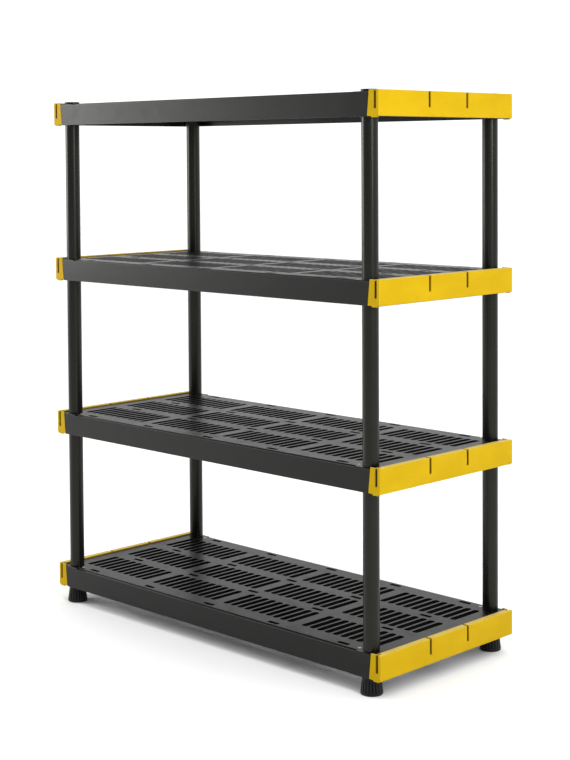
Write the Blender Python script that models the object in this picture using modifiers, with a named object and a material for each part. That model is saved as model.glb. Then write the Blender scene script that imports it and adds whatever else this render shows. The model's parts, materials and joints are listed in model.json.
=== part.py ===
"""Four-tier ventilated plastic shelving unit.

Moulded shelf trays with clip-on end caps stand on round tube posts that press
into corner sockets. The bottom tray stands on four conical feet, and four low
plugs close the sockets of the top tray.

Metres, +Z up. X runs along the length, Y along the depth (front is -Y), and the
origin is on the floor under the middle of the unit.
"""

import math

import bmesh
import bpy
from mathutils import Matrix

# ---- overall ----
OVERALL_LENGTH = 1.2192      # over the two end caps
OVERALL_DEPTH = 0.508
TIER_PITCH = 0.4362          # from one shelf to the next
FIRST_RIM_HEIGHT = 0.1055    # floor to the rim of the lowest end caps
TIER_COUNT = 4
FIT_GAP = 0.0003             # between pieces that touch or fit together

# ---- end caps ----
CAP_WALL = 0.003
CAP_ABOVE_APRON = 0.001      # the cap's lower edge, above the apron's
CAP_LIP = 0.017              # lip over the shelf, measured from the end face
RETURN_TOP = 0.030           # front and back returns, at the rim
RETURN_BOTTOM = 0.036        # and at their lower edge
SHADOW_GAP = 0.0015          # between a return's slanted edge and the apron
CAP_SLOT_WIDTH = 0.007
RETURN_SLOT_FROM_END = 0.012
RETURN_SLOT_DEPTH = 0.043
RETURN_SLOT_IN_LIP = 0.014   # how far a corner slot runs back across the lip
END_SLOT_OFFSET = 0.0715     # from the middle of the end face
END_SLOT_DEPTH = 0.038
TAB_FROM_END = 0.007
TAB_WIDTH = 0.016
TAB_HOOK = 0.005             # reach under the shelf's wall
TAB_THICKNESS = 0.0017

# ---- shelf tray ----
SHELF_DROP = 0.0587          # deck to the lower edge of the aprons
SHELF_WALL = 0.003
DECK_THICKNESS = 0.003
LEDGE_WIDTH = 0.008
LEDGE_DROP = 0.0025
LEDGE_FROM_END = 0.0796      # the ledge stops short of the corners by this much
SLOT_GROUPS = 4
SLOT_ROWS = 3
SLOTS_PER_GROUP = 10
END_STRIP = 0.060            # plain deck between the end face and the first slot
SOCKET_STRIP = 0.0053        # and between the socket bosses and the slots
GROUP_GAP = 0.0328
ROW_GAP = 0.0408
BAR_WIDTH = 0.0078           # between two slots
TIE_SLOT_COUNT = 5           # along the length
TIE_SLOT_LENGTH = 0.036
TIE_SLOT_WIDTH = 0.012
TIE_SLOT_FROM_END = 0.1362   # end face to the middle of the first tie slot
TIE_SLOT_FROM_EDGE = 0.0215  # front or back face to the middle of the outer row
CUT_DEPTH = 0.006            # cross ribs start this far down below the cuts
LONG_RIB_HEIGHT = 0.014
LONG_RIB_OFFSET = 0.0112     # from the middle line of a row of tie slots
CROSS_RIB_HEIGHT = 0.012
RIB_WALL = 0.0025

# ---- posts, feet and plugs ----
POST_RADIUS = 0.0198
POST_WALL = 0.0024
POST_INSET_X = 0.0508        # post axis to the end face
SOCKET_WALL = 0.0027
TOP_SOCKET_DEPTH = 0.026
SOCKET_WEB = 0.003
FOOT_SHOULDER = 0.0027       # how far a foot's top stands out past the post
FOOT_FLARE = 0.0047          # and its sole past its top
FOOT_EDGE_RADIUS = 0.004
FOOT_FLOOR = 0.005
SPIGOT_TIP_GAP = 0.006       # left in a socket beyond a foot's spigot
SPIGOT_WALL = 0.0026
SKIRT_TIP_GAP = 0.0036       # left in a socket below a plug's skirt
PLUG_HEIGHT = 0.0053
PLUG_OVERHANG = 0.0009       # how far a plug's head covers past the post
PLUG_EDGE_RADIUS = 0.0015
PLUG_TOP_WALL = 0.003
ROUND_SIDES = 16

# ---- sizes that follow ----
HALF_LENGTH = OVERALL_LENGTH / 2
HALF_DEPTH = OVERALL_DEPTH / 2
DECK_BELOW_RIM = CAP_WALL + FIT_GAP
SHELF_HALF_LENGTH = HALF_LENGTH - CAP_WALL - FIT_GAP
RECESS_DEPTH = CAP_WALL + FIT_GAP
CAP_HEIGHT = DECK_BELOW_RIM + SHELF_DROP - CAP_ABOVE_APRON
SOCKET_RADIUS = POST_RADIUS + FIT_GAP
BOSS_HALF = SOCKET_RADIUS + SOCKET_WALL
EDGE_STRIP = RECESS_DEPTH + 2 * BOSS_HALF + SOCKET_STRIP
GROUP_LENGTH = (OVERALL_LENGTH - 2 * END_STRIP - (SLOT_GROUPS - 1) * GROUP_GAP) / SLOT_GROUPS
GROUP_PITCH = GROUP_LENGTH + GROUP_GAP
SLOT_WIDTH = (GROUP_LENGTH - (SLOTS_PER_GROUP - 1) * BAR_WIDTH) / SLOTS_PER_GROUP
SLOT_PITCH = SLOT_WIDTH + BAR_WIDTH
SLOT_LENGTH = (OVERALL_DEPTH - 2 * EDGE_STRIP - (SLOT_ROWS - 1) * ROW_GAP) / SLOT_ROWS
ROW_PITCH = SLOT_LENGTH + ROW_GAP
TIE_SLOT_PITCH = 2 * (HALF_LENGTH - TIE_SLOT_FROM_END) / (TIE_SLOT_COUNT - 1)
BOTTOM_SOCKET_DEPTH = SHELF_DROP - TOP_SOCKET_DEPTH - SOCKET_WEB
POST_X = HALF_LENGTH - POST_INSET_X
POST_Y = HALF_DEPTH - RECESS_DEPTH - BOSS_HALF
FOOT_TOP_RADIUS = POST_RADIUS + FOOT_SHOULDER
FOOT_BOTTOM_RADIUS = FOOT_TOP_RADIUS + FOOT_FLARE
PLUG_RADIUS = POST_RADIUS + PLUG_OVERHANG
OVERSHOOT = 0.002            # how far a cutter runs past the face it cuts
BURIED_STEP = 0.0003         # keeps buried faces of joined shapes out of one plane

BLACK = (0.028, 0.028, 0.030)
POST_BLACK = (0.020, 0.020, 0.021)
YELLOW = (0.86, 0.60, 0.02)

SIDES = (("left", -1), ("right", 1))
FACES = (("front", -1), ("back", 1))


def start_empty():
    for item in list(bpy.data.objects):
        bpy.data.objects.remove(item, do_unlink=True)


def new_collection(name):
    collection = bpy.data.collections.new(name)
    bpy.context.scene.collection.children.link(collection)
    return collection


def make_material(name, colour, roughness, metallic=0.0):
    material = bpy.data.materials.new(name)
    material.use_nodes = True
    shader = material.node_tree.nodes["Principled BSDF"]
    shader.inputs["Base Color"].default_value = (*colour, 1.0)
    shader.inputs["Roughness"].default_value = roughness
    shader.inputs["Metallic"].default_value = metallic
    return material


def rim_height(tier):
    return FIRST_RIM_HEIGHT + (tier - 1) * TIER_PITCH


def deck_height(tier):
    return rim_height(tier) - DECK_BELOW_RIM


def add_object(name, mesh, collection, place=(0, 0, 0)):
    item = bpy.data.objects.new(name, mesh)
    item.location = place
    collection.objects.link(item)
    return item


def as_cutter(item):
    item.hide_render = True
    item.display_type = "WIRE"
    return item


def box_into(shape, low, high):
    """Add a box between two corners, and give its vertices."""
    size = [high[axis] - low[axis] for axis in range(3)]
    middle = [(high[axis] + low[axis]) / 2 for axis in range(3)]
    matrix = Matrix.Translation(middle) @ Matrix.Diagonal((*size, 1.0))
    return bmesh.ops.create_cube(shape, size=1.0, matrix=matrix)["verts"]


def cylinder_into(shape, radius, centre, low, high):
    matrix = Matrix.Translation((centre[0], centre[1], (low + high) / 2))
    bmesh.ops.create_cone(shape, cap_ends=True, segments=ROUND_SIDES, radius1=radius,
                          radius2=radius, depth=high - low, matrix=matrix)


def mesh_from(shape, name):
    mesh = bpy.data.meshes.new(name)
    shape.to_mesh(mesh)
    shape.free()
    return mesh


def boxes_mesh(name, boxes):
    shape = bmesh.new()
    for low, high in boxes:
        box_into(shape, low, high)
    return mesh_from(shape, name)


def cut_or_join(target, other, operation):
    modifier = target.modifiers.new(operation.lower(), "BOOLEAN")
    modifier.operation = operation
    modifier.solver = "EXACT"
    modifier.object = other


def join_each(target, shapes, collection):
    """Union shapes that may overlap each other, one modifier for each."""
    for name, mesh in shapes:
        cut_or_join(target, as_cutter(add_object(name, mesh, collection)), "UNION")


def cut_each(target, shapes, collection):
    for name, mesh in shapes:
        cut_or_join(target, as_cutter(add_object(name, mesh, collection)), "DIFFERENCE")


def finished_mesh(item, name):
    """Take the mesh an object has after its modifiers, and remove the object."""
    bpy.context.view_layer.update()
    graph = bpy.context.evaluated_depsgraph_get()
    mesh = bpy.data.meshes.new_from_object(item.evaluated_get(graph))
    mesh.name = name
    bpy.data.objects.remove(item, do_unlink=True)
    return mesh


def smooth_round(mesh):
    mesh.shade_smooth()
    mesh.set_sharp_from_angle(angle=math.radians(35))


# ---- shelf ----

def mirrored_boxes(low, high):
    """A box in the +X +Y quarter and its copies in the other three."""
    boxes = []
    for _, side in SIDES:
        for _, face in FACES:
            xs = sorted((side * low[0], side * high[0]))
            ys = sorted((face * low[1], face * high[1]))
            boxes.append(((xs[0], ys[0], low[2]), (xs[1], ys[1], high[2])))
    return boxes


def row_centres(count, pitch):
    return [(index - (count - 1) / 2) * pitch for index in range(count)]


def tray_shell():
    """Deck and four aprons: a box open below, thickened inwards."""
    shape = bmesh.new()
    box_into(shape, (-SHELF_HALF_LENGTH, -HALF_DEPTH, -SHELF_DROP),
             (SHELF_HALF_LENGTH, HALF_DEPTH, 0))
    lowest = min(shape.faces, key=lambda face: face.calc_center_median().z)
    bmesh.ops.delete(shape, geom=[lowest], context="FACES_ONLY")
    return mesh_from(shape, "tray_shell")


def long_ribs():
    """Ribs along the length, on the outer side of the inner tie slots."""
    boxes = []
    reach = SHELF_HALF_LENGTH - SHELF_WALL / 2
    for row in row_centres(SLOT_ROWS - 1, ROW_PITCH):
        y = row + math.copysign(LONG_RIB_OFFSET, row)
        boxes.append(((-reach, y - RIB_WALL / 2, -LONG_RIB_HEIGHT),
                      (reach, y + RIB_WALL / 2, -DECK_THICKNESS / 2)))
    return boxes_mesh("long_ribs", boxes)


def cross_ribs():
    """Ribs across the depth, between the slot groups."""
    reach = HALF_DEPTH - SHELF_WALL / 2
    return boxes_mesh("cross_ribs", [
        ((x - RIB_WALL / 2, -reach, -CROSS_RIB_HEIGHT),
         (x + RIB_WALL / 2, reach, -DECK_THICKNESS / 2))
        for x in row_centres(SLOT_GROUPS - 1, GROUP_PITCH)])


def corner_liners():
    """Inner walls behind the recesses that take the end caps' returns."""
    outer = HALF_DEPTH - SHELF_WALL / 2
    inner = HALF_DEPTH - RECESS_DEPTH - SHELF_WALL
    start = HALF_LENGTH - RETURN_BOTTOM - SHADOW_GAP - SHELF_WALL
    end = SHELF_HALF_LENGTH - SHELF_WALL / 2
    return boxes_mesh("corner_liners", mirrored_boxes(
        (start, inner, -SHELF_DROP), (end, outer, -DECK_THICKNESS / 2)))


def ledge_rails():
    """Extra stock under the ledges along the front and back edges."""
    reach = HALF_LENGTH - LEDGE_FROM_END + SHELF_WALL
    inner = HALF_DEPTH - LEDGE_WIDTH - SHELF_WALL
    outer = HALF_DEPTH - SHELF_WALL / 2
    lower = -LEDGE_DROP - DECK_THICKNESS
    boxes = []
    for _, face in FACES:
        ys = sorted((face * inner, face * outer))
        boxes.append(((-reach, ys[0], lower), (reach, ys[1], -DECK_THICKNESS / 2)))
    return boxes_mesh("ledge_rails", boxes)


def socket_blocks():
    """Square bosses round the post sockets."""
    outer = HALF_DEPTH - SHELF_WALL / 2 - BURIED_STEP
    return boxes_mesh("socket_blocks", mirrored_boxes(
        (POST_X - BOSS_HALF, POST_Y - BOSS_HALF, -SHELF_DROP),
        (POST_X + BOSS_HALF, outer, -DECK_THICKNESS / 2)))


def deck_cuts():
    """Slots, tie slots and edge ledges."""
    boxes = []
    for group_x in row_centres(SLOT_GROUPS, GROUP_PITCH):
        for x in row_centres(SLOTS_PER_GROUP, SLOT_PITCH):
            for y in row_centres(SLOT_ROWS, ROW_PITCH):
                boxes.append(((group_x + x - SLOT_WIDTH / 2, y - SLOT_LENGTH / 2, -CUT_DEPTH),
                              (group_x + x + SLOT_WIDTH / 2, y + SLOT_LENGTH / 2, OVERSHOOT)))
    outer_row = HALF_DEPTH - TIE_SLOT_FROM_EDGE
    tie_rows = row_centres(SLOT_ROWS - 1, ROW_PITCH) + [-outer_row, outer_row]
    for x in row_centres(TIE_SLOT_COUNT, TIE_SLOT_PITCH):
        for y in tie_rows:
            boxes.append(((x - TIE_SLOT_LENGTH / 2, y - TIE_SLOT_WIDTH / 2, -CUT_DEPTH),
                          (x + TIE_SLOT_LENGTH / 2, y + TIE_SLOT_WIDTH / 2, OVERSHOOT)))
    reach = HALF_LENGTH - LEDGE_FROM_END
    for _, face in FACES:
        ys = sorted((face * (HALF_DEPTH - LEDGE_WIDTH), face * (HALF_DEPTH + OVERSHOOT)))
        boxes.append(((-reach, ys[0], -LEDGE_DROP), (reach, ys[1], OVERSHOOT)))
    return boxes_mesh("deck_cuts", boxes)


def slant_box(shape, side, face, inner_top, inner_bottom, depth):
    """A corner block whose inner end leans, from the rim down to the lower edge."""
    outer_y = HALF_DEPTH + OVERSHOOT
    xs = sorted((side * (HALF_LENGTH - inner_bottom), side * (HALF_LENGTH + OVERSHOOT)))
    ys = sorted((face * (HALF_DEPTH - depth), face * outer_y))
    top = DECK_BELOW_RIM
    bottom = DECK_BELOW_RIM - CAP_HEIGHT
    verts = box_into(shape, (xs[0], ys[0], bottom), (xs[1], ys[1], top))
    shift = side * (inner_bottom - inner_top)
    inner_x = side * (HALF_LENGTH - inner_bottom)
    for vert in verts:
        if vert.co.z > (top + bottom) / 2 and abs(vert.co.x - inner_x) < OVERSHOOT:
            vert.co.x += shift
    for vert in verts:
        if abs(vert.co.z - bottom) < OVERSHOOT:
            lean = shift / CAP_HEIGHT
            if abs(vert.co.x - inner_x) < OVERSHOOT:
                vert.co.x -= lean * OVERSHOOT * 2
            vert.co.z -= OVERSHOOT * 2
    return verts


def recess_cuts():
    """Corner recesses that take the returns of the end caps."""
    shape = bmesh.new()
    for _, side in SIDES:
        for _, face in FACES:
            slant_box(shape, side, face, RETURN_TOP + SHADOW_GAP, RETURN_BOTTOM + SHADOW_GAP,
                      RECESS_DEPTH)
    return mesh_from(shape, "recess_cuts")


def socket_bores():
    shape = bmesh.new()
    for _, side in SIDES:
        for _, face in FACES:
            centre = (side * POST_X, face * POST_Y)
            cylinder_into(shape, SOCKET_RADIUS, centre, -TOP_SOCKET_DEPTH, OVERSHOOT)
            cylinder_into(shape, SOCKET_RADIUS, centre, -SHELF_DROP - OVERSHOOT,
                          -SHELF_DROP + BOTTOM_SOCKET_DEPTH)
    return mesh_from(shape, "socket_bores")


def shelf_mesh(cutters):
    shelf = add_object("shelf_model", tray_shell(), cutters)
    skin = shelf.modifiers.new("walls", "SOLIDIFY")
    skin.thickness = SHELF_WALL
    skin.offset = -1
    skin.use_even_offset = True
    skin.use_quality_normals = True
    join_each(shelf, (("long_ribs", long_ribs()), ("cross_ribs", cross_ribs()),
                      ("corner_liners", corner_liners()), ("ledge_rails", ledge_rails()),
                      ("socket_blocks", socket_blocks())), cutters)
    cut_each(shelf, (("deck_cuts", deck_cuts()), ("recess_cuts", recess_cuts()),
                     ("socket_bores", socket_bores())), cutters)
    return finished_mesh(shelf, "shelf")


# ---- end cap ----

def cap_hollow(side):
    """The space a cap leaves for the shelf's end, below its lip."""
    inside = HALF_DEPTH - CAP_WALL
    xs = sorted((side * (HALF_LENGTH - RETURN_BOTTOM - OVERSHOOT),
                 side * (HALF_LENGTH - CAP_WALL)))
    return boxes_mesh("cap_hollow", [
        ((xs[0], -inside, -CAP_HEIGHT - OVERSHOOT), (xs[1], inside, -CAP_WALL))])


def cap_top_opening(side):
    """The top between the returns, as far as the lip's inner edge."""
    inside = HALF_DEPTH - CAP_WALL
    xs = sorted((side * (HALF_LENGTH - RETURN_BOTTOM - OVERSHOOT),
                 side * (HALF_LENGTH - CAP_LIP)))
    return boxes_mesh("cap_top_opening", [
        ((xs[0], -inside, -CAP_WALL - OVERSHOOT), (xs[1], inside, OVERSHOOT))])


def cap_slots(side):
    boxes = []
    half = CAP_SLOT_WIDTH / 2
    for y in (-END_SLOT_OFFSET, END_SLOT_OFFSET):
        xs = sorted((side * (HALF_LENGTH - CAP_LIP - OVERSHOOT),
                     side * (HALF_LENGTH + OVERSHOOT)))
        boxes.append(((xs[0], y - half, -END_SLOT_DEPTH), (xs[1], y + half, OVERSHOOT)))
    for _, face in FACES:
        x = side * (HALF_LENGTH - RETURN_SLOT_FROM_END)
        ys = sorted((face * (HALF_DEPTH - RETURN_SLOT_IN_LIP), face * (HALF_DEPTH + OVERSHOOT)))
        boxes.append(((x - half, ys[0], -RETURN_SLOT_DEPTH), (x + half, ys[1], OVERSHOOT)))
    return boxes_mesh("cap_slots", boxes)


def cap_tabs(side):
    """Hooked tabs at the lower corners, which catch under the shelf's wall."""
    boxes = []
    near = HALF_LENGTH - TAB_FROM_END
    far = near - TAB_WIDTH
    hook_top = -DECK_BELOW_RIM - SHELF_DROP - FIT_GAP
    lower = hook_top - TAB_THICKNESS
    for _, face in FACES:
        xs = sorted((side * near, side * far))
        wall = sorted((face * HALF_DEPTH, face * (HALF_DEPTH - CAP_WALL)))
        boxes.append(((xs[0], wall[0], lower), (xs[1], wall[1], -CAP_HEIGHT / 2)))
    walls = boxes_mesh("cap_tab_walls", boxes)
    boxes = []
    for _, face in FACES:
        hook = sorted((face * (HALF_DEPTH - CAP_WALL / 2),
                       face * (HALF_DEPTH - CAP_WALL - TAB_HOOK)))
        boxes.append(((xs[0], hook[0], lower), (xs[1], hook[1], hook_top)))
    return walls, boxes_mesh("cap_tab_hooks", boxes)


def slant_cut(side):
    """Wedges that lean the inner edges of the returns."""
    shape = bmesh.new()
    start = HALF_LENGTH - RETURN_BOTTOM
    for _, face in FACES:
        xs = sorted((side * (start - OVERSHOOT), side * start))
        ys = sorted((face * (HALF_DEPTH - CAP_WALL - OVERSHOOT), face * (HALF_DEPTH + OVERSHOOT)))
        verts = box_into(shape, (xs[0], ys[0], -CAP_HEIGHT), (xs[1], ys[1], 0))
        for vert in verts:
            if abs(vert.co.x - side * start) < OVERSHOOT / 2:
                if vert.co.z > -CAP_HEIGHT / 2:
                    vert.co.x += side * (RETURN_BOTTOM - RETURN_TOP)
            # run past the top and the lower edge along the same slant
            lean = (RETURN_BOTTOM - RETURN_TOP) / CAP_HEIGHT * OVERSHOOT
            on_slant = abs(vert.co.x) > start - OVERSHOOT / 2
            outward = 1 if vert.co.z > -CAP_HEIGHT / 2 else -1
            vert.co.z += outward * OVERSHOOT
            if on_slant:
                vert.co.x += side * outward * lean
    return mesh_from(shape, "slant_cut")


def cap_mesh(cutters, name, side):
    block = sorted((side * (HALF_LENGTH - RETURN_BOTTOM), side * HALF_LENGTH))
    cap = add_object(f"{name}_model", boxes_mesh("cap_block", [
        ((block[0], -HALF_DEPTH, -CAP_HEIGHT), (block[1], HALF_DEPTH, 0))]), cutters)
    cut_each(cap, ((f"{name}_hollow", cap_hollow(side)),
                   (f"{name}_top_opening", cap_top_opening(side))), cutters)
    walls, hooks = cap_tabs(side)
    join_each(cap, ((f"{name}_tab_walls", walls), (f"{name}_tab_hooks", hooks)), cutters)
    cut_each(cap, ((f"{name}_slots", cap_slots(side)), (f"{name}_slants", slant_cut(side))),
             cutters)
    return finished_mesh(cap, name)


# ---- turned pieces ----

def quarter_round(centre_r, centre_z, radius, start, end, steps=4):
    """Points on an arc in the r-z plane, angles in degrees."""
    points = []
    for index in range(steps + 1):
        angle = math.radians(start + (end - start) * index / steps)
        points.append((centre_r + radius * math.cos(angle), centre_z + radius * math.sin(angle)))
    return points


def turned_mesh(name, profile, closed, collection):
    """Turn an r-z profile round Z. Its outer side runs from top to bottom."""
    mesh = bpy.data.meshes.new(name)
    edges = [(index, index + 1) for index in range(len(profile) - 1)]
    if closed:
        edges.append((len(profile) - 1, 0))
    mesh.from_pydata([(radius, 0, z) for radius, z in profile], edges, [])
    item = add_object(f"{name}_model", mesh, collection)
    screw = item.modifiers.new("turn", "SCREW")
    screw.steps = ROUND_SIDES
    screw.render_steps = ROUND_SIDES
    screw.use_merge_vertices = True
    screw.merge_threshold = 0.00001
    result = finished_mesh(item, name)
    smooth_round(result)
    return result


def post_mesh(cutters):
    """A straight tube, its lower end at z = 0."""
    below = TOP_SOCKET_DEPTH - FIT_GAP
    clear = TIER_PITCH - SHELF_DROP
    above = BOTTOM_SOCKET_DEPTH - FIT_GAP
    length = below + clear + above
    inner = POST_RADIUS - POST_WALL
    profile = [(inner, 0), (inner, length), (POST_RADIUS, length), (POST_RADIUS, 0)]
    return turned_mesh("post", profile, True, cutters)


def foot_mesh(cutters):
    """A conical foot with a hollow spigot, its sole at z = 0."""
    shoulder = rim_height(1) - DECK_BELOW_RIM - SHELF_DROP - FIT_GAP
    top = shoulder + FIT_GAP + BOTTOM_SOCKET_DEPTH - SPIGOT_TIP_GAP
    bore = POST_RADIUS - SPIGOT_WALL
    profile = [(0, FOOT_FLOOR), (bore, FOOT_FLOOR), (bore, top), (POST_RADIUS, top),
               (POST_RADIUS, shoulder), (FOOT_TOP_RADIUS, shoulder)]
    profile += quarter_round(FOOT_BOTTOM_RADIUS - FOOT_EDGE_RADIUS, FOOT_EDGE_RADIUS,
                             FOOT_EDGE_RADIUS, 0, -90, 2)
    profile += [(0, 0)]
    return turned_mesh("foot", profile, False, cutters)


def plug_mesh(cutters):
    """A low plug with a hollow skirt, the underside of its head at z = 0."""
    skirt = -FIT_GAP - TOP_SOCKET_DEPTH + SKIRT_TIP_GAP
    bore = POST_RADIUS - SPIGOT_WALL
    profile = [(0, PLUG_HEIGHT)]
    profile += quarter_round(PLUG_RADIUS - PLUG_EDGE_RADIUS, PLUG_HEIGHT - PLUG_EDGE_RADIUS,
                             PLUG_EDGE_RADIUS, 90, 0, 2)
    profile += [(PLUG_RADIUS, 0), (POST_RADIUS, 0), (POST_RADIUS, skirt), (bore, skirt),
                (bore, PLUG_HEIGHT - PLUG_TOP_WALL), (0, PLUG_HEIGHT - PLUG_TOP_WALL)]
    return turned_mesh("plug", profile, False, cutters)


# ---- assembly ----

def corners():
    for side_name, side in SIDES:
        for face_name, face in FACES:
            yield f"{face_name}_{side_name}", side * POST_X, face * POST_Y


def place_shelves(unit, cutters, material):
    mesh = shelf_mesh(cutters)
    mesh.materials.clear()
    mesh.materials.append(material)
    for tier in range(1, TIER_COUNT + 1):
        add_object(f"shelf_{tier}", mesh, unit, (0, 0, deck_height(tier)))


def place_caps(unit, cutters, material):
    for side_name, side in SIDES:
        mesh = cap_mesh(cutters, f"end_cap_{side_name}", side)
        mesh.materials.clear()
        mesh.materials.append(material)
        for tier in range(1, TIER_COUNT + 1):
            add_object(f"end_cap_{side_name}_{tier}", mesh, unit, (0, 0, rim_height(tier)))


def place_turned(unit, cutters, black, post_black):
    post = post_mesh(cutters)
    post.materials.append(post_black)
    foot = foot_mesh(cutters)
    foot.materials.append(black)
    plug = plug_mesh(cutters)
    plug.materials.append(black)
    for name, x, y in corners():
        add_object(f"foot_{name}", foot, unit, (x, y, 0))
        for tier in range(1, TIER_COUNT):
            lower_end = deck_height(tier) - TOP_SOCKET_DEPTH + FIT_GAP
            add_object(f"post_{name}_{tier}", post, unit, (x, y, lower_end))
        add_object(f"post_plug_{name}", plug, unit, (x, y, deck_height(TIER_COUNT) + FIT_GAP))


def build():
    start_empty()
    unit = new_collection("shelving_unit")
    cutters = new_collection("cutters")
    black = make_material("black_plastic", BLACK, 0.5)
    post_black = make_material("post_plastic", POST_BLACK, 0.42)
    yellow = make_material("yellow_plastic", YELLOW, 0.45)
    place_shelves(unit, cutters, black)
    place_caps(unit, cutters, yellow)
    place_turned(unit, cutters, black, post_black)


build()
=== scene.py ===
import json
import math
import bmesh
import bpy
from mathutils import Matrix, Vector

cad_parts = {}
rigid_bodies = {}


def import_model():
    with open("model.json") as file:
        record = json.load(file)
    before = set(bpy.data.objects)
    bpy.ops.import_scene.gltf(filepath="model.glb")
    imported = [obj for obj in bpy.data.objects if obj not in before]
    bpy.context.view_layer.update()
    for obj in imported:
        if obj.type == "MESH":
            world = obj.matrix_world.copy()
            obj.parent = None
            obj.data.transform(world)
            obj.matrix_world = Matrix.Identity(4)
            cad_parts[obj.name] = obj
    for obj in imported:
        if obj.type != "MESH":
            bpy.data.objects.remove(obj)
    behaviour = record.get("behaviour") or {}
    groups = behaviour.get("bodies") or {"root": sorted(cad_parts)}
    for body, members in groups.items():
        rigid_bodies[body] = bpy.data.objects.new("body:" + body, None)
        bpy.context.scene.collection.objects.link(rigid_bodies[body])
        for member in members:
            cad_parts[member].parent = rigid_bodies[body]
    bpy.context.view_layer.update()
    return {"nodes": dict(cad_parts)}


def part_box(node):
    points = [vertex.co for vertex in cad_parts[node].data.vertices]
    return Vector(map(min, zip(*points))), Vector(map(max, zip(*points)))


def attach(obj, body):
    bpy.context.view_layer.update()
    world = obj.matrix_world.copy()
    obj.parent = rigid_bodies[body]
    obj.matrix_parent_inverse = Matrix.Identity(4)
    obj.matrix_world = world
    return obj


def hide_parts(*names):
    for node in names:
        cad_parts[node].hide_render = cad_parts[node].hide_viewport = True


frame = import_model()
print("frame loaded:", len(frame["nodes"]), "nodes")

sides = (("Left", "left"), ("Right", "right"))
faces = (("Front", "front"), ("Back", "back"))
tiers = (1, 2, 3, 4)


# selecting and editing

def clearSelection():
    if bpy.context.mode != "OBJECT":
        bpy.ops.object.mode_set(mode="OBJECT")
    bpy.ops.object.select_all(action="DESELECT")


def takeUp(piece):
    clearSelection()
    piece.select_set(True)
    bpy.context.view_layer.objects.active = piece


def startEdit(piece, what):
    takeUp(piece)
    bpy.ops.object.mode_set(mode="EDIT")
    bpy.ops.mesh.select_mode(type=what)
    bpy.ops.mesh.select_all(action="DESELECT")


def stopEdit():
    bpy.ops.object.mode_set(mode="OBJECT")


def pick(piece, what, wanted):
    # selects the faces, edges or verts that pass the test, and nothing else
    bpy.ops.mesh.select_all(action="DESELECT")
    shape = bmesh.from_edit_mesh(piece.data)
    for item in getattr(shape, what):
        if wanted(item):
            item.select_set(True)
    shape.select_flush_mode()
    bmesh.update_edit_mesh(piece.data)


def near(value, target, slack=0.0001):
    return abs(value - target) < slack


def edgeIs(test):
    # an edge whose two ends both pass
    return lambda edge: all(test(corner.co) for corner in edge.verts)


def upright(test):
    # a vertical edge whose two ends both pass
    def wanted(edge):
        along = (edge.verts[1].co - edge.verts[0].co).normalized()
        return abs(along.z) > 0.99 and edgeIs(test)(edge)
    return wanted


def creased(test, angle=50):
    # an edge where two faces meet at an angle, and whose two ends both pass
    def wanted(edge):
        sharp = len(edge.link_faces) == 2 and edge.calc_face_angle() > math.radians(angle)
        return sharp and edgeIs(test)(edge)
    return wanted


def faceFacing(direction, height=None):
    # a face with this normal and, if given, this height
    aim = Vector(direction)

    def test(face):
        level = height is None or near(face.calc_center_median().z, height)
        return level and face.normal.dot(aim) > 0.99
    return test


def roundEdges(piece, wanted, width, segments):
    startEdit(piece, "EDGE")
    pick(piece, "edges", wanted)
    bpy.ops.mesh.bevel(offset=width, segments=segments, profile=0.5, affect="EDGES", clamp_overlap=True)
    stopEdit()


def shiftCorners(piece, test, move):
    startEdit(piece, "VERT")
    pick(piece, "verts", lambda corner: test(corner.co))
    bpy.ops.transform.translate(value=move)
    stopEdit()


def settle(piece):
    takeUp(piece)
    bpy.ops.object.transform_apply(location=True, rotation=True, scale=True)


def addBox(name, low, high):
    clearSelection()
    middle = [(a + b) / 2 for a, b in zip(low, high)]
    size = [b - a for a, b in zip(low, high)]
    bpy.ops.mesh.primitive_cube_add(size=1, location=middle, scale=size)
    box = bpy.context.object
    box.name = name
    settle(box)
    return box


def addRound(name, radius, spot, low, high, corners=64, ends="NGON"):
    clearSelection()
    bpy.ops.mesh.primitive_cylinder_add(vertices=corners, radius=radius, depth=high - low, end_fill_type=ends,
                                        location=(spot[0], spot[1], (low + high) / 2))
    rod = bpy.context.object
    rod.name = name
    settle(rod)
    return rod


def useModifier(piece, kind, **values):
    takeUp(piece)
    change = piece.modifiers.new(kind.lower(), kind)
    for name, value in values.items():
        setattr(change, name, value)
    bpy.ops.object.modifier_apply(modifier=change.name)


def mirrorIt(piece, alongX=True, alongY=True):
    # copies one corner's shape to the others
    useModifier(piece, "MIRROR", use_axis=(alongX, alongY, False), use_mirror_merge=False)
    return piece


def repeatIt(piece, count, step):
    useModifier(piece, "ARRAY", count=count, use_relative_offset=False, use_constant_offset=True,
                constant_offset_displace=step)
    return piece


def combine(piece, other, operation, material):
    useModifier(piece, "BOOLEAN", operation=operation, solver="EXACT", object=other, material_mode=material)
    bpy.data.objects.remove(other, do_unlink=True)


def join(piece, other, material="INDEX"):
    combine(piece, other, "UNION", material)


def cut(piece, other, material="INDEX"):
    combine(piece, other, "DIFFERENCE", material)


def smoothOff(piece, angle=32):
    # wide flat faces keep their own direction, so that only the rounded edges look rounded
    takeUp(piece)
    bpy.ops.object.shade_smooth_by_angle(angle=math.radians(angle))
    useModifier(piece, "WEIGHTED_NORMAL", keep_sharp=True)


def faceOut(piece):
    startEdit(piece, "FACE")
    bpy.ops.mesh.select_all(action="SELECT")
    bpy.ops.mesh.normals_make_consistent(inside=False)
    stopEdit()


def markPlace(piece):
    # keeps each point's place on the modelled piece, for wear and for painted shade and highlight along its
    # edges
    own = piece.data.attributes.new("place", "FLOAT_VECTOR", "POINT")
    own.data.foreach_set("vector", [part for corner in piece.data.vertices for part in corner.co])


def paint(piece, *finishes):
    piece.data.materials.clear()
    for finish in finishes:
        piece.data.materials.append(finish)


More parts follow.
